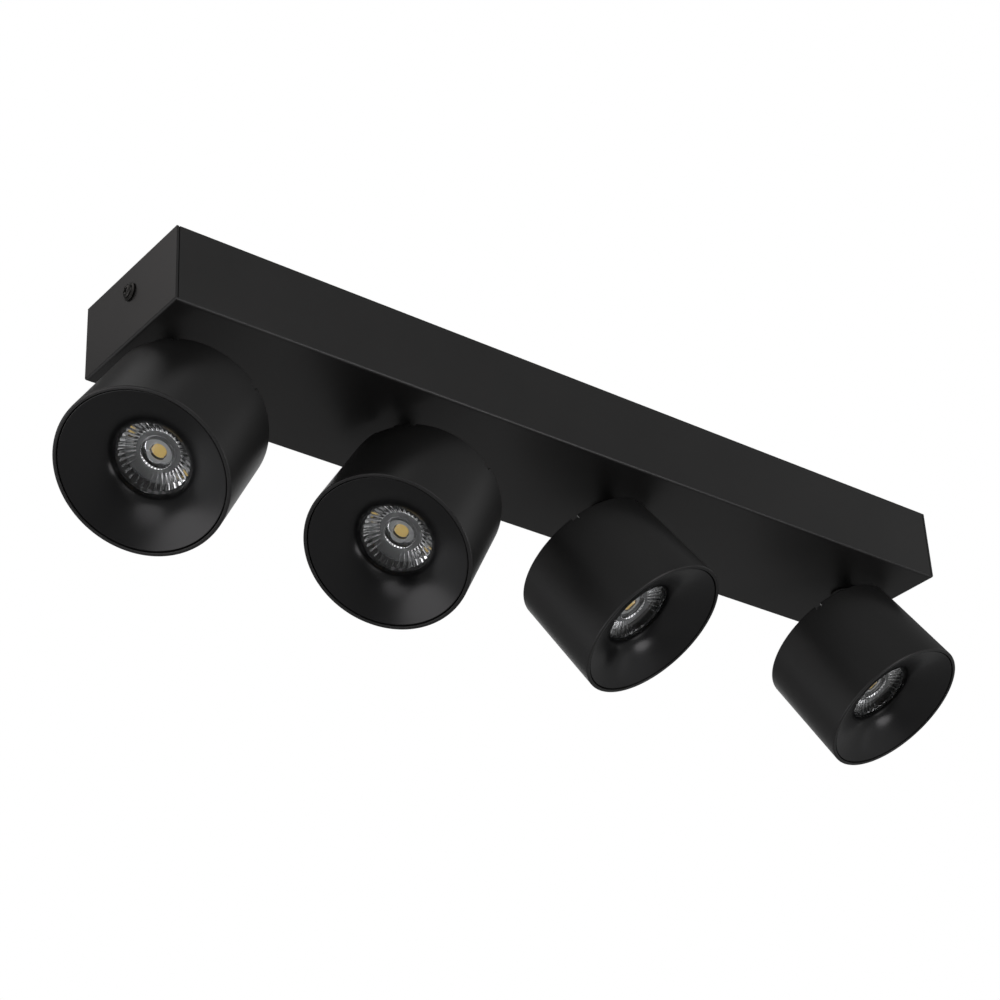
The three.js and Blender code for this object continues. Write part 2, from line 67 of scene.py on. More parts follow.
SHEET = 1.2
FOLD_RADIUS = 1.6
STEM_HOLE_RADIUS = 5.3
SCREW_HOLE_RADIUS = 2.3
SCREW_DROP = 13.4

SHELL_REAR_RADIUS = 39.6
SHELL_FRONT_RADIUS = 41.2
SHELL_WALL = 1.8
SHELL_REAR_Z = 22.0
SHELL_FRONT_Z = -34.5
NOTCH_DEPTH = 2.5
SLOT_HALF_WIDTH = 5.2
CLIP_ANGLES = (21, 83, 277, 339)
CLIP_WIDTH = 3.0
CLIP_THICKNESS = 1.3
CAP_RECESS = 1.0
CAP_THICKNESS = 2.0

LENS_FACE_Z = -19.9
LENS_REAR_Z = -9.1
LENS_RADIUS = 17.7
LENS_RIM = 0.7
LENS_REAR_RADIUS = 10.4
LENS_FLUTES = 36
FLUTE_DEPTH = 0.45
FLUTE_STEPS = 8
CAVITY_RADIUS = 8.0
CAVITY_CORNER_Z = -13.4
HOLDER_WALL = 1.5
HOLDER_STEP_Z = -13.2
BOARD_RADIUS = 14.0
BOARD_TOP_Z = -7.3
BOARD_BOTTOM_Z = -8.3
EMITTER_RADIUS = 4.4
EMITTER_BOTTOM_Z = -8.8
EMITTER_TOP_Z = BOARD_BOTTOM_Z - 0.02
COLLAR_BORE = 4.8
COLLAR_OUTSIDE = 7.5
COLLAR_BOTTOM_Z = -10.6
COLLAR_FACE = 0.3

BAFFLE_RIM_GAP = 0.35
BAFFLE_RIM_RECESS = 0.4
BAFFLE_THICKNESS = 1.2
BAFFLE_SKIRT = 5.0
BELL_POWER = 2.0
BELL_STEPS = 26

ARM_RADIUS = 4.0
STEM_RADIUS = 5.0
COLLAR_RADIUS = 8.0
COLLAR_THICKNESS = 1.0
EYE_WIDTH = 7.0
FLATS_RISE = 9.0
PIN_HOLE_RADIUS = 1.8
EYE_INSET = 0.985
LEAD_BORE_RADIUS = 2.4
LEAD_BORE_BOTTOM = FLATS_RISE + 3
WINDOW_BOTTOM = FLATS_RISE + 4
WINDOW_TOP = FLATS_RISE + 12

ROUND_STEPS = 144
SHARP_DEGREES = 32
WELD_DISTANCE = 1e-6
PAST = 1.0       # how far, at least, a cutting shape reaches past what it cuts


# ---------------------------------------------------------------------------------------------
# Where things are, from the frame
# ---------------------------------------------------------------------------------------------

joints = {joint["name"]: joint for joint in frame["joints"]}


def swivel_matrix(head):
    """Frame of a swivel arm: origin at its tilt pin, z up, x towards the tipped side."""
    tilt = joints[f"tilt_{head}"]
    axis = Vector(tilt["axis"])
    pan = math.atan2(axis.x, -axis.y)
    return Matrix.Translation(tilt["pos_m"]) @ Matrix.Rotation(pan, 4, "Z")


def head_matrix(head):
    """Frame of a head: the swivel's frame tipped by the rest tilt, which is the joint's lower limit."""
    rest_tilt = math.radians(-joints[f"tilt_{head}"]["range_deg"][0])
    return swivel_matrix(head) @ Matrix.Rotation(-rest_tilt, 4, "Y")


CANOPY_LOW, CANOPY_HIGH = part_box("canopy_cover")
PIVOT_Z = joints["tilt_1"]["pos_m"][2] * 1000
STEM_TOP_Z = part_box("swivel_arm_1")[1].z * 1000 - PIVOT_Z
COLLAR_TOP_Z = CANOPY_LOW.z * 1000 - GAP - PIVOT_Z


# ---------------------------------------------------------------------------------------------
# Materials
# ---------------------------------------------------------------------------------------------

def new_material(name):
    material = bpy.data.materials.new(name)
    material.use_nodes = True
    nodes = material.node_tree.nodes
    shader = nodes["Principled BSDF"]
    return material, nodes, material.node_tree.links, shader


def noise(nodes, links, coords, scale, detail=4.0, roughness=0.55):
    texture = nodes.new("ShaderNodeTexNoise")
    texture.inputs["Scale"].default_value = scale
    texture.inputs["Detail"].default_value = detail
    texture.inputs["Roughness"].default_value = roughness
    links.new(coords, texture.inputs["Vector"])
    return texture.outputs["Fac"]


def ramp(nodes, links, value, stops):
    """Colour ramp through (position, colour) stops."""
    node = nodes.new("ShaderNodeValToRGB")
    elements = node.color_ramp.elements
    elements[0].position, elements[0].color = stops[0][0], (*stops[0][1], 1)
    elements[1].position, elements[1].color = stops[-1][0], (*stops[-1][1], 1)
    for position, colour in stops[1:-1]:
        elements.new(position).color = (*colour, 1)
    links.new(value, node.inputs["Fac"])
    return node.outputs["Color"]


def spread(nodes, links, value, low, high):
    """Maps 0..1 to low..high."""
    node = nodes.new("ShaderNodeMapRange")
    node.inputs["To Min"].default_value = low
    node.inputs["To Max"].default_value = high
    links.new(value, node.inputs["Value"])
    return node.outputs["Result"]


def bump(nodes, links, shader, height, distance, strength=1.0):
    node = nodes.new("ShaderNodeBump")
    node.inputs["Strength"].default_value = strength
    node.inputs["Distance"].default_value = distance
    links.new(height, node.inputs["Height"])
    links.new(node.outputs["Normal"], shader.inputs["Normal"])


def object_coords(nodes):
    return nodes.new("ShaderNodeTexCoord").outputs["Object"]


def powder_coat(name, dark, light, roughness, grain, depth):
    """Satin powder coat: a fine orange-peel grain, slow changes of tone and worn, glossier spots."""
    material, nodes, links, shader = new_material(name)
    coords = object_coords(nodes)
    slow = noise(nodes, links, coords, 18, 3)
    fine = noise(nodes, links, coords, grain, 2, 0.4)
    links.new(ramp(nodes, links, slow, [(0.3, dark), (0.7, light)]), shader.inputs["Base Color"])
    links.new(spread(nodes, links, slow, roughness - 0.04, roughness + 0.05),
              shader.inputs["Roughness"])
    bump(nodes, links, shader, fine, depth, 0.5)
    return material


def moulded(name, dark, light, roughness, grain=900, depth=0.000008, shine=0.5):
    """Moulded plastic or rubber: faint texture and slight tone changes."""
    material, nodes, links, shader = new_material(name)
    shader.inputs["Specular IOR Level"].default_value = shine
    coords = object_coords(nodes)
    slow = noise(nodes, links, coords, 40, 3)
    fine = noise(nodes, links, coords, grain, 3)
    links.new(ramp(nodes, links, slow, [(0.25, dark), (0.75, light)]), shader.inputs["Base Color"])
    links.new(spread(nodes, links, slow, roughness - 0.03, roughness + 0.03),
              shader.inputs["Roughness"])
    bump(nodes, links, shader, fine, depth, 0.4)
    return material


def bare_metal(name, dark, light, roughness, stretch=(1, 1, 1)):
    """Plated or cast metal with fine streaks."""
    material, nodes, links, shader = new_material(name)
    mapping = nodes.new("ShaderNodeMapping")
    mapping.inputs["Scale"].default_value = stretch
    links.new(object_coords(nodes), mapping.inputs["Vector"])
    coords = mapping.outputs["Vector"]
    streaks = noise(nodes, links, coords, 260, 5, 0.65)
    clouds = noise(nodes, links, coords, 30, 3)
    links.new(ramp(nodes, links, clouds, [(0.3, dark), (0.7, light)]), shader.inputs["Base Color"])
    links.new(spread(nodes, links, streaks, roughness - 0.08, roughness + 0.1),
              shader.inputs["Roughness"])
    shader.inputs["Metallic"].default_value = 1.0
    bump(nodes, links, shader, streaks, 0.00001, 0.4)
    return material


def clear_plastic(name):
    """Moulded clear optic with very faint flow marks."""
    material, nodes, links, shader = new_material(name)
    coords = object_coords(nodes)
    flow = noise(nodes, links, coords, 120, 2)
    links.new(ramp(nodes, links, flow, [(0.3, (0.93, 0.95, 0.96)), (0.7, (0.98, 0.99, 1.0))]),
              shader.inputs["Base Color"])
    links.new(spread(nodes, links, flow, 0.0, 0.035), shader.inputs["Roughness"])
    shader.inputs["Transmission Weight"].default_value = 1.0
    shader.inputs["IOR"].default_value = 1.49
    bump(nodes, links, shader, flow, 0.00002, 0.15)
    return material


def phosphor_painted_glow(name):
    """Yellow light-emitting disc, unlit: fine grains in silicone, with a faint painted glow from its
    emission.
    """
    material, nodes, links, shader = new_material(name)
    coords = object_coords(nodes)
    grains = noise(nodes, links, coords, 2500, 4)
    links.new(ramp(nodes, links, grains, [(0.3, (0.82, 0.47, 0.08)), (0.7, (0.95, 0.66, 0.16))]),
              shader.inputs["Base Color"])
    shader.inputs["Roughness"].default_value = 0.35
    # Painted glow: the disc is unlit, yet this emission makes it shine faintly.
    shader.inputs["Emission Color"].default_value = (1.0, 0.72, 0.25, 1)
    shader.inputs["Emission Strength"].default_value = 0.25
    bump(nodes, links, shader, grains, 0.00002, 0.3)
    return material


CANOPY_COAT = powder_coat(
    "canopy_powder_coat", (0.0090, 0.0088, 0.0087), (0.0118, 0.0114, 0.0112), 0.36, 1500, 0.000006)
HEAD_COAT = powder_coat(
    "head_powder_coat", (0.0090, 0.0090, 0.0090), (0.0112, 0.0111, 0.0110), 0.37, 2200, 0.000005)
BAFFLE_BLACK = moulded(
    "baffle_black", (0.0040, 0.0041, 0.0044), (0.0056, 0.0057, 0.0060), 0.25, 2500, 0.000002, 0.36)
BLACK_PLASTIC = moulded("black_plastic", (0.010, 0.010, 0.010), (0.014, 0.014, 0.014), 0.5)
WHITE_PLASTIC = moulded("driver_plastic", (0.70, 0.70, 0.67), (0.78, 0.78, 0.75), 0.5)
RUBBER = moulded("grommet_rubber", (0.014, 0.014, 0.014), (0.022, 0.021, 0.021), 0.75)
BOARD_DARK = moulded("led_board", (0.26, 0.26, 0.26), (0.34, 0.34, 0.34), 0.35)
COLLAR_GREY = moulded("collar_grey", (0.82, 0.82, 0.82), (0.88, 0.88, 0.87), 0.3)
ZINC = bare_metal("zinc_plated_steel", (0.46, 0.47, 0.46), (0.60, 0.61, 0.60), 0.32, (1, 8, 1))
ALUMINIUM = bare_metal("aluminium_heat_sink", (0.55, 0.56, 0.57), (0.66, 0.67, 0.68), 0.42)
SCREW_BLACK = bare_metal("black_screw", (0.035, 0.034, 0.033), (0.06, 0.058, 0.056), 0.3)
CLEAR_LENS = clear_plastic("clear_lens")
PHOSPHOR_PAINTED_GLOW = phosphor_painted_glow("led_phosphor")


# ---------------------------------------------------------------------------------------------
# Mesh tools
# ---------------------------------------------------------------------------------------------

def mark_sharp_edges(bm):
    """Smooth faces, with a sharp edge where two of them meet at a large angle."""
    limit = math.radians(SHARP_DEGREES)
    for face in bm.faces:
        face.smooth = True
    for edge in bm.edges:
        edge.smooth = len(edge.link_faces) == 2 and edge.calc_face_angle(0) < limit


def finish_mesh(name, bm, material=None):
    """Turns a bmesh into an object of the scene."""
    bmesh.ops.remove_doubles(bm, verts=bm.verts, dist=WELD_DISTANCE)
    bmesh.ops.recalc_face_normals(bm, faces=bm.faces)
    mark_sharp_edges(bm)
    mesh = bpy.data.meshes.new(name)
    bm.to_mesh(mesh)
    bm.free()
    if material:
        mesh.materials.append(material)
    piece = bpy.data.objects.new(name, mesh)
    bpy.context.scene.collection.objects.link(piece)
    return piece


def place(piece, matrix, body, replaced):
    """Moves the mesh itself, so that the piece's own box is tight, and hands the piece to a body."""
    piece.data.transform(matrix)
    even_shading = piece.modifiers.new("even_shading", "WEIGHTED_NORMAL")
    even_shading.keep_sharp = True
    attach(piece, body)
    if replaced:
        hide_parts(*replaced)


def filleted(outline, steps=5):
    """Rounds the corners of a closed or open outline. A point is (radius, z) or (radius, z, fillet)."""
    count = len(outline)
    result = []
    for index, point in enumerate(outline):
        here = Vector(point[:2])
        fillet = point[2] if len(point) > 2 else 0
        if not fillet:
            result.append(tuple(here))
            continue
        before = Vector(outline[(index - 1) % count][:2]) - here
        after = Vector(outline[(index + 1) % count][:2]) - here
        angle = before.angle(after)
        reach = min(fillet / math.tan(angle / 2), before.length * 0.49, after.length * 0.49)
        start = here + before.normalized() * reach
        end = here + after.normalized() * reach
        for step in range(steps + 1):
            share = step / steps
            inner = start.lerp(here, share).lerp(here.lerp(end, share), share)
            result.append(tuple(inner))
    return result


def revolve(bm, outline, steps=ROUND_STEPS, ripple=None):
    """Turns a closed outline of (radius, z) in millimetres about Z. ripple(point index, angle) may
    move a point outwards, in millimetres."""
    rings = []
    for step in range(steps):
        angle = TURN * step / steps
        ring = []
        for index, (radius, z) in enumerate(outline):
            if radius <= 1e-6:
                ring.append(None)
                continue
            extra = ripple(index, angle) if ripple else 0
            reach = mm(radius + extra)
            ring.append(bm.verts.new((reach * math.cos(angle), reach * math.sin(angle), mm(z))))
        rings.append(ring)
    poles = {
        index: bm.verts.new((0, 0, mm(z)))
        for index, (radius, z) in enumerate(outline) if radius <= 1e-6
    }
    count = len(outline)
    for step in range(steps):
        here, there = rings[step], rings[(step + 1) % steps]
        for index in range(count):
            after = (index + 1) % count
            corners = [
                here[index] or poles[index],
                there[index] or poles[index],
                there[after] or poles[after],
                here[after] or poles[after],
            ]
            unique = list(dict.fromkeys(corners))
            if len(unique) > 2:
                bm.faces.new(unique)


def turned_piece(name, outline, material, steps=ROUND_STEPS, ripple=None):
    bm = bmesh.new()
    revolve(bm, outline, steps, ripple)
    return finish_mesh(name, bm, material)


def box_mesh(bm, low, high, matrix=None):
    size = Vector(high) - Vector(low)
    centre = (Vector(high) + Vector(low)) / 2
    shape = Matrix.Translation(centre / 1000) @ Matrix.Diagonal((*(size / 1000), 1))
    bmesh.ops.create_cube(bm, size=1, matrix=(matrix or Matrix.Identity(4)) @ shape)


def bar(bm, ends):
    """Closed bar between two matching loops of points in metres."""
    loops = [[bm.verts.new(point) for point in end] for end in ends]
    count = len(loops[0])
    for index in range(count):
        after = (index + 1) % count
        bm.faces.new((loops[0][index], loops[0][after], loops[1][after], loops[1][index]))
    for loop in loops:
        bm.faces.new(loop)


def tube(bm, radius, low, high, matrix, steps=48):
    """Closed cylinder in millimetres along the Z of a matrix."""
    turns = [TURN * step / steps for step in range(steps)]
    bar(bm, [
        [matrix @ Vector((mm(radius * math.cos(turn)), mm(radius * math.sin(turn)), mm(z)))
         for turn in turns]
        for z in (low, high)
    ])


def carve(piece, build, operation="DIFFERENCE"):
    """Cuts a shape out of a piece, or joins it on, with the result applied to the mesh."""
    bm = bmesh.new()
    build(bm)
    tool = finish_mesh("cutter", bm)
    modifier = piece.modifiers.new("carve", "BOOLEAN")
    modifier.operation = operation
    modifier.solver = "EXACT"
    modifier.use_self = True
    modifier.object = tool
    bake_modifiers(piece)
    bpy.data.objects.remove(tool)


def bake_modifiers(piece):
    """Applies a piece's modifiers to its mesh."""
    bpy.context.view_layer.update()
    graph = bpy.context.evaluated_depsgraph_get()
    mesh = bpy.data.meshes.new_from_object(piece.evaluated_get(graph))
    piece.modifiers.clear()
    piece.data = mesh
    bm = bmesh.new()
    bm.from_mesh(mesh)
    mark_sharp_edges(bm)
    bm.to_mesh(mesh)
    bm.free()


def bevel(piece, width, segments=3, angle=40):
    """Rounds the sharp edges of a piece, with the result applied to the mesh."""
    modifier = piece.modifiers.new("bevel", "BEVEL")
    modifier.width = mm(width)
    modifier.segments = segments
    modifier.limit_method = "ANGLE"
    modifier.angle_limit = math.radians(angle)
    bake_modifiers(piece)


def copy_of(piece, name):
    twin = piece.copy()
    twin.data = piece.data.copy()
    twin.name = name
    twin.data.name = name
    bpy.context.scene.collection.objects.link(twin)
    return twin


# ---------------------------------------------------------------------------------------------
# Canopy
# ---------------------------------------------------------------------------------------------

HALF_LENGTH = CANOPY_HIGH.x * 1000
HALF_WIDTH = CANOPY_HIGH.y * 1000
HEIGHT = -CANOPY_LOW.z * 1000
FOLD_STEPS = 6
SEAM = 0.45             # upright seam between the end of a long side and an end flap
SIDE_END = HALF_LENGTH - SHEET - SEAM
FLAP_LAP = 3.0          # how far an end flap's foot reaches in over the end of the floor
FLAP_SIDE_GAP = 0.05    # how far an end flap's edges stay inside the long sides' faces
HAIR = 0.02             # how much larger the trimming sleeve is than the cover
TAB_TOP = -0.3

SCREW_SHANK_RADIUS = 2.0
SCREW_LENGTH = 9.0
SCREW_FLANGE_RADIUS = 4.5
SCREW_FLANGE_RISE = 0.6
SCREW_HEAD_RADIUS = 3.4
SCREW_HEAD_HEIGHT = 2.6
CROSS_TURN = 0.35
CROSS_HALF_WIDTH = 0.42


def cover_section(half_width):
    """Outside and inside line of the folded section as (y, z), from one top edge round to the other."""
    outside = [(-half_width, 0)]
    inside = [(-half_width + SHEET, 0)]
    for side, first_turn in ((-1, math.pi), (1, 1.5 * math.pi)):
        centre = side * (half_width - FOLD_RADIUS)
        for step in range(FOLD_STEPS + 1):
            turn = first_turn + (math.pi / 2) * step / FOLD_STEPS
            for line, radius in ((outside, FOLD_RADIUS), (inside, FOLD_RADIUS - SHEET)):
                line.append((centre + radius * math.cos(turn),
                             -HEIGHT + FOLD_RADIUS + radius * math.sin(turn)))
    outside.append((half_width, 0))
    inside.append((half_width - SHEET, 0))
    return outside, inside


def cover_channel():
    """The floor and the two long sides, folded from one sheet."""
    outside, inside = cover_section(HALF_WIDTH)
    outline = outside + inside[::-1]
    count = len(outline)
    bm = bmesh.new()
    left, right = [
        [bm.verts.new((mm(x), mm(y), mm(z))) for y, z in outline] for x in (-SIDE_END, SIDE_END)
    ]
    for index in range(count):
        after = (index + 1) % count
        bm.faces.new((left[index], right[index], right[after], left[after]))
    for loop in (left, right):
        for index in range(count // 2 - 1):
            bm.faces.new((loop[index], loop[index + 1], loop[count - 2 - index], loop[count - 1 - index]))
    return finish_mesh("cover", bm, CANOPY_COAT)


def end_flap(bm, side):
    """One end wall, folded up from the floor, as wide as the cover."""
    fold_x = HALF_LENGTH - FOLD_RADIUS
    fold_z = -HEIGHT + FOLD_RADIUS
    turns = [(math.pi / 2) * step / FOLD_STEPS for step in range(FOLD_STEPS + 1)]
    inner = FOLD_RADIUS - SHEET
    profile = [(HALF_LENGTH, 0), (HALF_LENGTH, fold_z)]
    for turn in turns[1:]:
        profile.append((fold_x + FOLD_RADIUS * math.cos(turn), fold_z - FOLD_RADIUS * math.sin(turn)))
    profile.append((SIDE_END - FLAP_LAP, -HEIGHT))
    profile.append((SIDE_END - FLAP_LAP, -HEIGHT + SHEET))
    for turn in reversed(turns):
        profile.append((fold_x + inner * math.cos(turn), fold_z - inner * math.sin(turn)))
    profile.append((HALF_LENGTH - SHEET, 0))
    edge = HALF_WIDTH - FLAP_SIDE_GAP
    bar(bm, [[(mm(side * x), mm(y), mm(z)) for x, z in profile] for y in (-edge, edge)])


def cover_sleeve(bm):
    """A bar with the cover's outside section, a hair larger, that rounds the end flaps' corners."""
    outside, _ = cover_section(HALF_WIDTH + HAIR)
    outline = [(y, z - HAIR if z < 0 else PAST) for y, z in outside]
    ends = (-HALF_LENGTH - PAST, HALF_LENGTH + PAST)
    bar(bm, [[(mm(x), mm(y), mm(z)) for y, z in outline] for x in ends])


def cover_holes(bm):
    """A hole in the floor for each stem and one in each end wall for its screw."""
    for head in HEADS:
        station = Matrix.Translation((joints[f"pan_{head}"]["pos_m"][0], 0, 0))
        tube(bm, STEM_HOLE_RADIUS, -HEIGHT - 2 * PAST, -HEIGHT + 4 * PAST, station)
    across = Matrix.Translation((0, 0, mm(-SCREW_DROP))) @ Matrix.Rotation(math.pi / 2, 4, "Y")
    for side in (-1, 1):
        low, high = sorted((side * (HALF_LENGTH - 4 * PAST), side * (HALF_LENGTH + 4 * PAST)))
        tube(bm, SCREW_HOLE_RADIUS, low, high, across, 32)


def corner_tabs(bm):
    """A thin tab behind each upright seam, from a long side to its end flap, keeps light out."""
    for side_x in (-1, 1):
        for side_y in (-1, 1):
            xs = sorted((side_x * (SIDE_END - 1), side_x * (HALF_LENGTH - SHEET / 2)))
            ys = sorted((side_y * (HALF_WIDTH - SHEET + 0.1), side_y * (HALF_WIDTH - SHEET / 2)))
            box_mesh(bm, (xs[0], ys[0], -HEIGHT + FOLD_RADIUS), (xs[1], ys[1], TAB_TOP))


def canopy_cover():
    """Folded sheet: the floor turns up into two long sides and two end flaps that lap over the sides'
    ends, with a fine seam at each upright corner."""
    cover = cover_channel()
    for side in (-1, 1):
        carve(cover, lambda bm, side=side: end_flap(bm, side), "UNION")
    carve(cover, cover_sleeve, "INTERSECT")
    carve(cover, cover_holes)
    bevel(cover, 0.25, 2, 50)
    carve(cover, corner_tabs, "UNION")
    place(cover, Matrix.Identity(4), "canopy", ["canopy_cover"])


def screw_cross(bm):
    """Two crossed wedges that taper down into the screw's head."""
    corners = [(-2.1, 3.2), (2.1, 3.2), (1.1, 1.3), (-1.1, 1.3)]
    for turn in (CROSS_TURN, CROSS_TURN + math.pi / 2):
        matrix = Matrix.Rotation(turn, 4, "Z")
        bar(bm, [
            [matrix @ Vector((mm(x), mm(y), mm(z))) for x, z in corners]
            for y in (-CROSS_HALF_WIDTH, CROSS_HALF_WIDTH)
        ])


def end_screw(side, word):
    """Flanged pan-head screw with a tapered cross recess, head outwards."""
    outline = filleted([
        (0, -SCREW_LENGTH), (SCREW_SHANK_RADIUS, -SCREW_LENGTH, 0.5), (SCREW_SHANK_RADIUS, 0),
        (SCREW_FLANGE_RADIUS, 0, 0.1), (SCREW_FLANGE_RADIUS, SCREW_FLANGE_RISE, 0.25),
        (SCREW_HEAD_RADIUS + 0.1, 1.0, 0.3), (SCREW_HEAD_RADIUS, 1.9, 0.9),
        (2.2, SCREW_HEAD_HEIGHT, 0.8), (0, SCREW_HEAD_HEIGHT),
    ])
    screw = turned_piece(f"screw_{word}", outline, SCREW_BLACK, 64)
    carve(screw, screw_cross)
    bevel(screw, 0.12, 2, 45)
    matrix = Matrix.Translation((side * (CANOPY_HIGH.x + mm(GAP)), 0, mm(-SCREW_DROP)))
    matrix = matrix @ Matrix.Rotation(side * math.pi / 2, 4, "Y")
    place(screw, matrix, "canopy", [f"end_screw_{word}"])


# ---------------------------------------------------------------------------------------------
# Head
# ---------------------------------------------------------------------------------------------

def outer_radius(z):
    share = (SHELL_REAR_Z - z) / (SHELL_REAR_Z - SHELL_FRONT_Z)
    return SHELL_REAR_RADIUS + share * (SHELL_FRONT_RADIUS - SHELL_REAR_RADIUS)


def inner_radius(z):
    return outer_radius(z) - SHELL_WALL


def shell():
    """Tapered tube with a notch for the arm and four small notches for the cap's clips. The ring just in
    front of the notches keeps their corners from shading the long side."""
    ring_z = SHELL_REAR_Z - NOTCH_DEPTH - 1.5 * PAST
    outline = filleted([
        (inner_radius(SHELL_FRONT_Z), SHELL_FRONT_Z, 0.35),
        (SHELL_FRONT_RADIUS, SHELL_FRONT_Z, 0.75),
        (outer_radius(ring_z), ring_z),
        (SHELL_REAR_RADIUS, SHELL_REAR_Z, 0.8),
        (inner_radius(SHELL_REAR_Z), SHELL_REAR_Z, 0.3),
        (inner_radius(ring_z), ring_z),
    ], 6)
    round_shell = turned_piece("shell", outline, HEAD_COAT)

    def notches(bm):
        inside = inner_radius(SHELL_REAR_Z) - 2 * PAST
        outside = SHELL_FRONT_RADIUS + PAST
        above = SHELL_REAR_Z + PAST
        box_mesh(bm, (inside, -SLOT_HALF_WIDTH, SHELL_REAR_Z - NOTCH_DEPTH),
                 (outside, SLOT_HALF_WIDTH, above))
        clip_floor = SHELL_REAR_Z - CAP_RECESS - CLIP_THICKNESS - GAP
        half = CLIP_WIDTH / 2 + GAP
        for angle in CLIP_ANGLES:
            turn = Matrix.Rotation(math.radians(angle), 4, "Z")
            box_mesh(bm, (inside, -half, clip_floor), (outside, half, above), turn)

    carve(round_shell, notches)
    bevel(round_shell, 0.2, 2, 50)
    return round_shell


def rear_cap():
    """Disc inside the shell's rear, with four clips and a slot for the arm."""
    top = SHELL_REAR_Z - CAP_RECESS
    bottom = top - CAP_THICKNESS
    radius = inner_radius(top) - GAP
    outline = filleted([(0, bottom), (radius, bottom), (radius, top, 0.5), (0, top)])
    disc = turned_piece("rear_cap", outline, HEAD_COAT)

    def clips(bm):
        for angle in CLIP_ANGLES:
            turn = Matrix.Rotation(math.radians(angle), 4, "Z")
            box_mesh(bm, (radius - 2, -CLIP_WIDTH / 2, top - CLIP_THICKNESS),
                     (radius + GAP + SHELL_WALL / 2, CLIP_WIDTH / 2, top), turn)

    def slot(bm):
        tube(bm, SLOT_HALF_WIDTH, bottom - PAST, top + PAST, Matrix.Identity(4))

    def slot_way(bm):
        box_mesh(bm, (0, -SLOT_HALF_WIDTH, bottom - PAST), (radius + 4 * PAST, SLOT_HALF_WIDTH, top + PAST))

    carve(disc, clips, "UNION")
    carve(disc, slot)
    carve(disc, slot_way)
    bevel(disc, 0.25, 2, 50)
    return disc


def baffle():
    """Bell mouth round the optic, with a rolled rim and a skirt inside the shell's front."""
    rim = inner_radius(SHELL_FRONT_Z) - BAFFLE_RIM_GAP
    bell_top = LENS_FACE_Z - GAP
    bell_front = SHELL_FRONT_Z + BAFFLE_RIM_RECESS

    def bell(share, offset):
        """Point of the bell's line, from the optic to the rim, moved off the surface by the offset."""
        flare = rim - LENS_RADIUS
        depth = bell_top - bell_front
        slope = flare * BELL_POWER * share ** (BELL_POWER - 1)
        length = math.hypot(slope, depth)
        return (
            LENS_RADIUS + flare * share ** BELL_POWER + offset * depth / length,
            bell_top - depth * share + offset * slope / length,
        )

    front = [bell(step / BELL_STEPS, 0) for step in range(BELL_STEPS)]
    skirt_top = bell_front + BAFFLE_SKIRT
    skirt = inner_radius(skirt_top) - BAFFLE_RIM_GAP
    back = [bell(step / BELL_STEPS, BAFFLE_THICKNESS) for step in range(BELL_STEPS)]
    back = [point for point in back if point[0] < skirt - BAFFLE_THICKNESS - 0.2]
    rim_points = filleted([
        bell(1 - 1.5 / BELL_STEPS, 0), (*bell(1, 0), 0.5), (skirt, skirt_top, 0.2),
        (skirt - BAFFLE_THICKNESS, skirt_top, 0.2),
        (skirt - BAFFLE_THICKNESS, bell_front + 1.5 * BAFFLE_THICKNESS), back[-1],
    ])
    outline = front[:-1] + rim_points[1:-1] + back[::-1]
    return turned_piece("baffle", outline, BAFFLE_BLACK)


def lens():
    """Clear optic: flat face with a fine rim, fluted conical side and a round cavity over the board."""
    rim = LENS_RADIUS + LENS_RIM
    outline = filleted([
        (0, LENS_FACE_Z), (rim, LENS_FACE_Z, 0.25), (rim, LENS_FACE_Z + 1.5, 0.2),
        (LENS_RADIUS - 0.6, LENS_FACE_Z + 2.2), (15.6, -15.2), (13.2, -12.0),
        (LENS_REAR_RADIUS, LENS_REAR_Z), (CAVITY_RADIUS, LENS_REAR_Z, 0.1),
        (CAVITY_RADIUS - 0.3, CAVITY_CORNER_Z, 0.8), (4, -15.0, 1), (0, -15.6),
    ])

    def flute(index, angle):
        radius, z = outline[index]
        on_cone = LENS_FACE_Z + 2 < z < LENS_REAR_Z - 0.05 and radius > CAVITY_RADIUS
        if not on_cone:
            return 0
        return -FLUTE_DEPTH * abs(math.sin(LENS_FLUTES * angle / 2))

    return turned_piece("lens", outline, CLEAR_LENS, LENS_FLUTES * FLUTE_STEPS, flute)


def lens_holder():
    """Ring that presses the optic's rim against the board."""
    rim = LENS_RADIUS + LENS_RIM + GAP
    outside = rim + HOLDER_WALL
    bore = BOARD_RADIUS + GAP
    outline = filleted([
        (rim, LENS_FACE_Z + GAP, 0.2), (outside, LENS_FACE_Z + GAP, 0.3),
        (outside, BOARD_TOP_Z, 0.3), (bore, BOARD_TOP_Z),
        (bore, HOLDER_STEP_Z), (rim, LENS_FACE_Z + 1.8),
    ])
    return turned_piece("lens_holder", outline, BLACK_PLASTIC, 96)


def led_board():
    """Round board behind the optic."""
    board = filleted([
        (0, BOARD_BOTTOM_Z), (BOARD_RADIUS, BOARD_BOTTOM_Z, 0.15), (BOARD_RADIUS, BOARD_TOP_Z, 0.15),
        (0, BOARD_TOP_Z),
    ], 3)
    return turned_piece("led_board", board, BOARD_DARK, 96)


def emitter():
    """Light-emitting disc on the board."""
    disc = filleted([
        (0, EMITTER_BOTTOM_Z), (EMITTER_RADIUS, EMITTER_BOTTOM_Z, 0.2),
        (EMITTER_RADIUS, EMITTER_TOP_Z), (0, EMITTER_TOP_Z),
    ], 4)
    return turned_piece("led_emitter", disc, PHOSPHOR_PAINTED_GLOW, 64)


def emitter_collar(name, low, high, material):
    """Ring round the light-emitting disc, inside the lens's cavity."""
    ring = filleted([
        (COLLAR_BORE, low, 0.08), (COLLAR_OUTSIDE, low, 0.1), (COLLAR_OUTSIDE, high), (COLLAR_BORE, high),
    ], 3)
    return turned_piece(name, ring, material, 64)


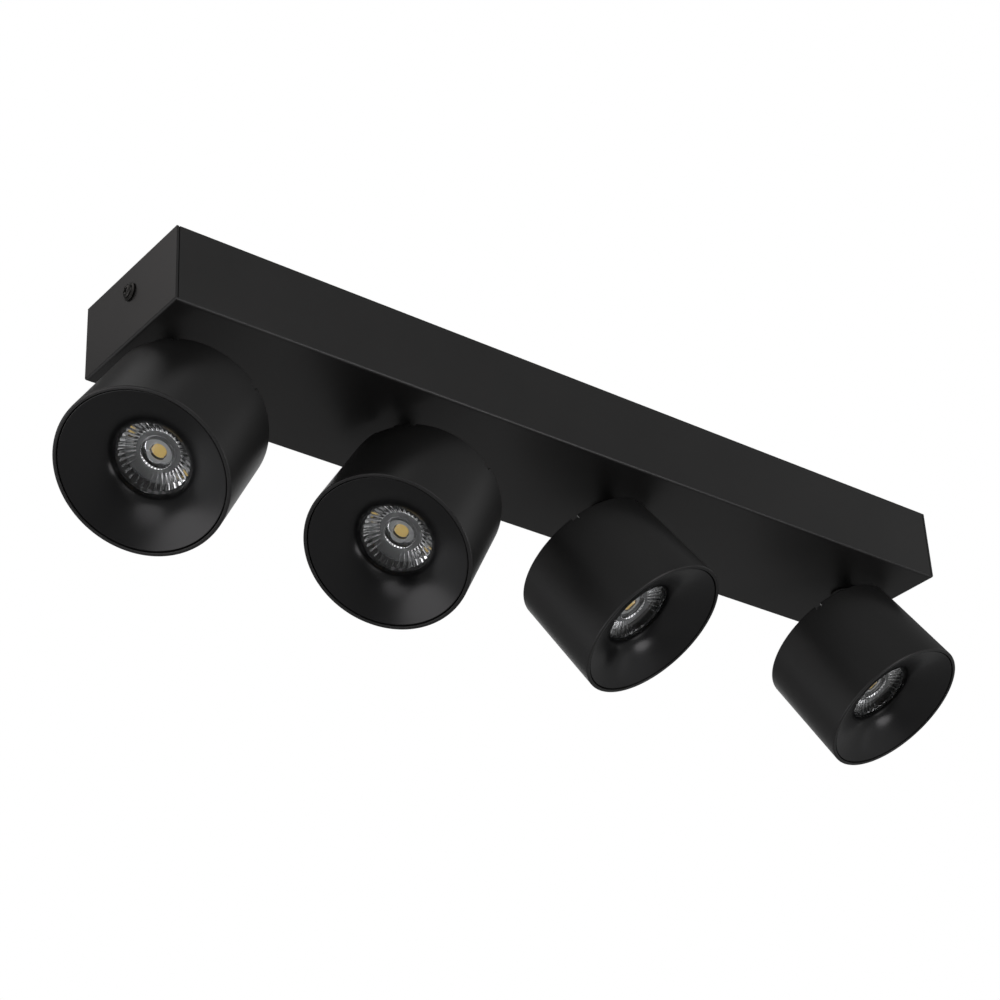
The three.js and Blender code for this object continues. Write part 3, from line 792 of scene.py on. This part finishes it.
def arm_eye(bm):
    """Flat eye under the stem, round at its lower end."""
    reach = ARM_RADIUS * EYE_INSET
    outline = [(reach, FLATS_RISE), (-reach, FLATS_RISE)]
    for step in range(25):
        turn = math.pi + math.pi * step / 24
        outline.append((reach * math.cos(turn), ARM_RADIUS * math.sin(turn)))
    half = EYE_WIDTH / 2
    bar(bm, [[(mm(x), mm(y), mm(z)) for x, z in outline] for y in (-half, half)])


def arm_bores(bm):
    """Hole for the tilt pin, and the bore that carries the leads up through the stem."""
    across = Matrix.Rotation(math.pi / 2, 4, "X")
    tube(bm, PIN_HOLE_RADIUS, -EYE_WIDTH, EYE_WIDTH, across, 32)
    tube(bm, LEAD_BORE_RADIUS, LEAD_BORE_BOTTOM, STEM_TOP_Z + PAST, Matrix.Identity(4), 32)


def arm_window(bm):
    """Opening in the arm's side through which the leads reach the bore."""
    box_mesh(bm, (-ARM_RADIUS - PAST, -LEAD_BORE_RADIUS, WINDOW_BOTTOM), (0, LEAD_BORE_RADIUS, WINDOW_TOP))


def swivel_arm():
    """Hollow stem with a collar under the canopy and an eye for the tilt pin."""
    collar_low = COLLAR_TOP_Z - COLLAR_THICKNESS
    outline = filleted([
        (0, FLATS_RISE - 1), (ARM_RADIUS, FLATS_RISE - 1), (ARM_RADIUS, collar_low, 0.5),
        (COLLAR_RADIUS, collar_low, 0.3), (COLLAR_RADIUS, COLLAR_TOP_Z, 0.2),
        (STEM_RADIUS, COLLAR_TOP_Z), (STEM_RADIUS, STEM_TOP_Z, 0.4), (0, STEM_TOP_Z),
    ])
    arm = turned_piece("swivel_arm", outline, HEAD_COAT, 64)
    carve(arm, arm_eye, "UNION")
    carve(arm, arm_bores)
    carve(arm, arm_window)
    bevel(arm, 0.2, 2, 50)
    return arm


def build_heads():
    """Each head piece is made once and copied to the four heads."""
    collar_middle_z = COLLAR_BOTTOM_Z + COLLAR_FACE
    collar = emitter_collar("collar", collar_middle_z, EMITTER_TOP_Z, BLACK_PLASTIC)
    collar_face = emitter_collar("collar_face", COLLAR_BOTTOM_Z, collar_middle_z, COLLAR_GREY)
    # piece, the CAD node that it stands for, the record's material slot
    head_pieces = [
        (shell(), "shell", "head_powder_coat"),
        (rear_cap(), "rear_cap", "head_powder_coat"),
        (baffle(), "baffle", "baffle_black"),
        (lens(), "lens", "clear_lens"),
        (lens_holder(), "lens_holder", "black_plastic"),
        (led_board(), "led_board", "led_board"),
        (emitter(), None, "led_board"),
        (collar, None, "black_plastic"),
        (collar_face, None, "driver_plastic"),
    ]
    arm = swivel_arm()
    for head in HEADS:
        for piece, node, slot in head_pieces:
            twin = copy_of(piece, f"{piece.name}_piece_{head}")
            place(twin, head_matrix(head), f"head_{head}", [f"{node}_{head}"] if node else [])
        twin = copy_of(arm, f"swivel_arm_piece_{head}")
        place(twin, swivel_matrix(head), f"swivel_{head}", [f"swivel_arm_{head}"])
    for piece, _, _ in head_pieces:
        bpy.data.objects.remove(piece)
    bpy.data.objects.remove(arm)


def paint_cad_nodes():
    """CAD nodes whose shape is right keep it and get a detailed material."""
    finishes = {
        "mounting_plate": ZINC,
        "earth_screw": ZINC,
        "driver_left": WHITE_PLASTIC,
        "driver_right": WHITE_PLASTIC,
        "terminal_block": WHITE_PLASTIC,
        "cable_grommet": RUBBER,
        "cable_clamp": BLACK_PLASTIC,
    }
    for head in HEADS:
        for part in ("friction_washer", "stem_nut", "tilt_pin", "pivot_bracket"):
            finishes[f"{part}_{head}"] = ZINC
        finishes[f"heat_sink_{head}"] = ALUMINIUM
    for node, material in finishes.items():
        for slot in frame["nodes"][node].material_slots:
            slot.material = material


# ---------------------------------------------------------------------------------------------
# Studio
# ---------------------------------------------------------------------------------------------

CAMERA_HEADING = 39.26
CAMERA_ELEVATION = 29.81
CAMERA_ROLL = -3.08
CAMERA_PLACE = (-0.68986, -0.80749, -0.65393)
CAMERA_LENS = 87.7
SENSOR_WIDTH = 36


def camera():
    """Looks up at the fixture from in front of its left end."""
    data = bpy.data.cameras.new("camera")
    data.lens = CAMERA_LENS
    data.sensor_width = SENSOR_WIDTH
    data.clip_end = 50
    item = bpy.data.objects.new("camera", data)
    heading = math.radians(CAMERA_HEADING)
    elevation = math.radians(CAMERA_ELEVATION)
    look = (Matrix.Rotation(-heading, 4, "Z") @ Matrix.Rotation(math.pi / 2 + elevation, 4, "X")
            @ Matrix.Rotation(math.radians(CAMERA_ROLL), 4, "Z"))
    item.matrix_world = Matrix.Translation(CAMERA_PLACE) @ look
    bpy.context.scene.collection.objects.link(item)
    bpy.context.scene.camera = item


SOFTBOX_DISTANCE = 1.6
FIXTURE_MIDDLE_Z = -0.07
FLOOR_Z = -1.6
FLOOR_REACH = 4.0
FLOOR_GLOW = 0.5
AMBIENT = 0.275
AMBIENT_SLOPE = (-0.02, -0.12, -0.135)   # how much brighter it gets towards +X, +Y and +Z

# name, direction from the fixture, diameter in metres, power in watts, colour
SOFTBOXES = (
    ("front_low", (0.45, -0.75, -0.48), 0.7, 4.0, (1.0, 0.98, 1.0)),
    ("front_high", (-0.12, -0.96, 0.26), 1.2, 4.0, (1.0, 0.98, 0.98)),
    ("left_front", (-0.93, -0.30, -0.21), 0.9, 2.5, (1.0, 0.98, 1.0)),
    ("left_low", (-0.86, 0.23, -0.45), 0.9, 4.0, (1.0, 0.98, 1.0)),
    ("left_back", (-0.62, 0.72, -0.30), 0.9, 0.8, (0.98, 0.98, 1.0)),
    ("left_high", (-0.77, 0.32, 0.55), 1.2, 3.3, (1.0, 0.95, 0.94)),
    ("right_high", (0.91, -0.20, 0.36), 1.0, 0.5, (1.0, 1.0, 1.0)),
    ("right_low", (0.80, -0.42, -0.42), 0.9, 0.6, (0.98, 0.98, 1.0)),
    ("back_low", (0.42, 0.82, -0.38), 1.2, 0.15, (1.0, 0.99, 0.98)),
    ("back_high", (0.43, 0.75, 0.50), 1.2, 2.6, (1.0, 1.0, 1.0)),
    ("top", (-0.1, 0.1, 1.0), 1.2, 1.2, (1.0, 1.0, 1.0)),
)


def softbox(name, direction, size, power, colour):
    """Round soft light that shines at the fixture and isn't itself seen."""
    data = bpy.data.lights.new(name, "AREA")
    data.shape = "DISK"
    data.size = size
    data.energy = power
    data.color = colour
    item = bpy.data.objects.new(name, data)
    away = Vector(direction).normalized()
    place_at = away * SOFTBOX_DISTANCE + Vector((0, 0, FIXTURE_MIDDLE_Z))
    item.matrix_world = Matrix.Translation(place_at) @ away.to_track_quat("Z", "Y").to_matrix().to_4x4()
    item.visible_camera = False
    bpy.context.scene.collection.objects.link(item)


def studio():
    """White surroundings for the camera, dim ones for the light, and a ring of softboxes."""
    scene = bpy.context.scene
    scene.view_settings.view_transform = "Standard"
    world = bpy.data.worlds.new("studio")
    world.use_nodes = True
    scene.world = world
    nodes, links = world.node_tree.nodes, world.node_tree.links
    nodes.clear()
    output = nodes.new("ShaderNodeOutputWorld")
    mix = nodes.new("ShaderNodeMixShader")
    path = nodes.new("ShaderNodeLightPath")
    seen = nodes.new("ShaderNodeBackground")
    seen.inputs["Color"].default_value = (1, 1, 1, 1)
    seen.inputs["Strength"].default_value = 1.0
    lighting = nodes.new("ShaderNodeBackground")
    lighting.inputs["Color"].default_value = (1, 1, 1, 1)
    direction = nodes.new("ShaderNodeTexCoord")
    slope = nodes.new("ShaderNodeVectorMath")
    slope.operation = "DOT_PRODUCT"
    slope.inputs[1].default_value = AMBIENT_SLOPE
    total = nodes.new("ShaderNodeMath")
    total.operation = "ADD"
    total.inputs[1].default_value = AMBIENT
    total.use_clamp = True
    links.new(direction.outputs["Generated"], slope.inputs[0])
    links.new(slope.outputs["Value"], total.inputs[0])
    links.new(total.outputs["Value"], lighting.inputs["Strength"])
    links.new(path.outputs["Is Camera Ray"], mix.inputs["Fac"])
    links.new(lighting.outputs["Background"], mix.inputs[1])
    links.new(seen.outputs["Background"], mix.inputs[2])
    links.new(mix.outputs["Shader"], output.inputs["Surface"])
    for settings in SOFTBOXES:
        softbox(*settings)


def floor():
    """Pale floor well below the fixture, which hangs at ceiling height. Its glow is seen by the camera
    only, so that it looks pale without lighting the fixture from below."""
    bm = bmesh.new()
    bmesh.ops.create_grid(bm, x_segments=8, y_segments=8, size=FLOOR_REACH)
    plane = finish_mesh("studio_floor", bm)
    material, nodes, links, shader = new_material("studio_floor")
    tone = noise(nodes, links, object_coords(nodes), 1.5, 2)
    pale = ramp(nodes, links, tone, [(0.3, (0.80, 0.80, 0.80)), (0.7, (0.84, 0.84, 0.84))])
    links.new(pale, shader.inputs["Base Color"])
    shader.inputs["Roughness"].default_value = 0.8
    path = nodes.new("ShaderNodeLightPath")
    links.new(pale, shader.inputs["Emission Color"])
    glow = spread(nodes, links, path.outputs["Is Camera Ray"], 0.0, FLOOR_GLOW)
    links.new(glow, shader.inputs["Emission Strength"])
    plane.data.materials.append(material)
    plane.location = (0, 0, FLOOR_Z)


canopy_cover()
end_screw(-1, "left")
end_screw(1, "right")
build_heads()
paint_cad_nodes()
camera()
studio()
floor()
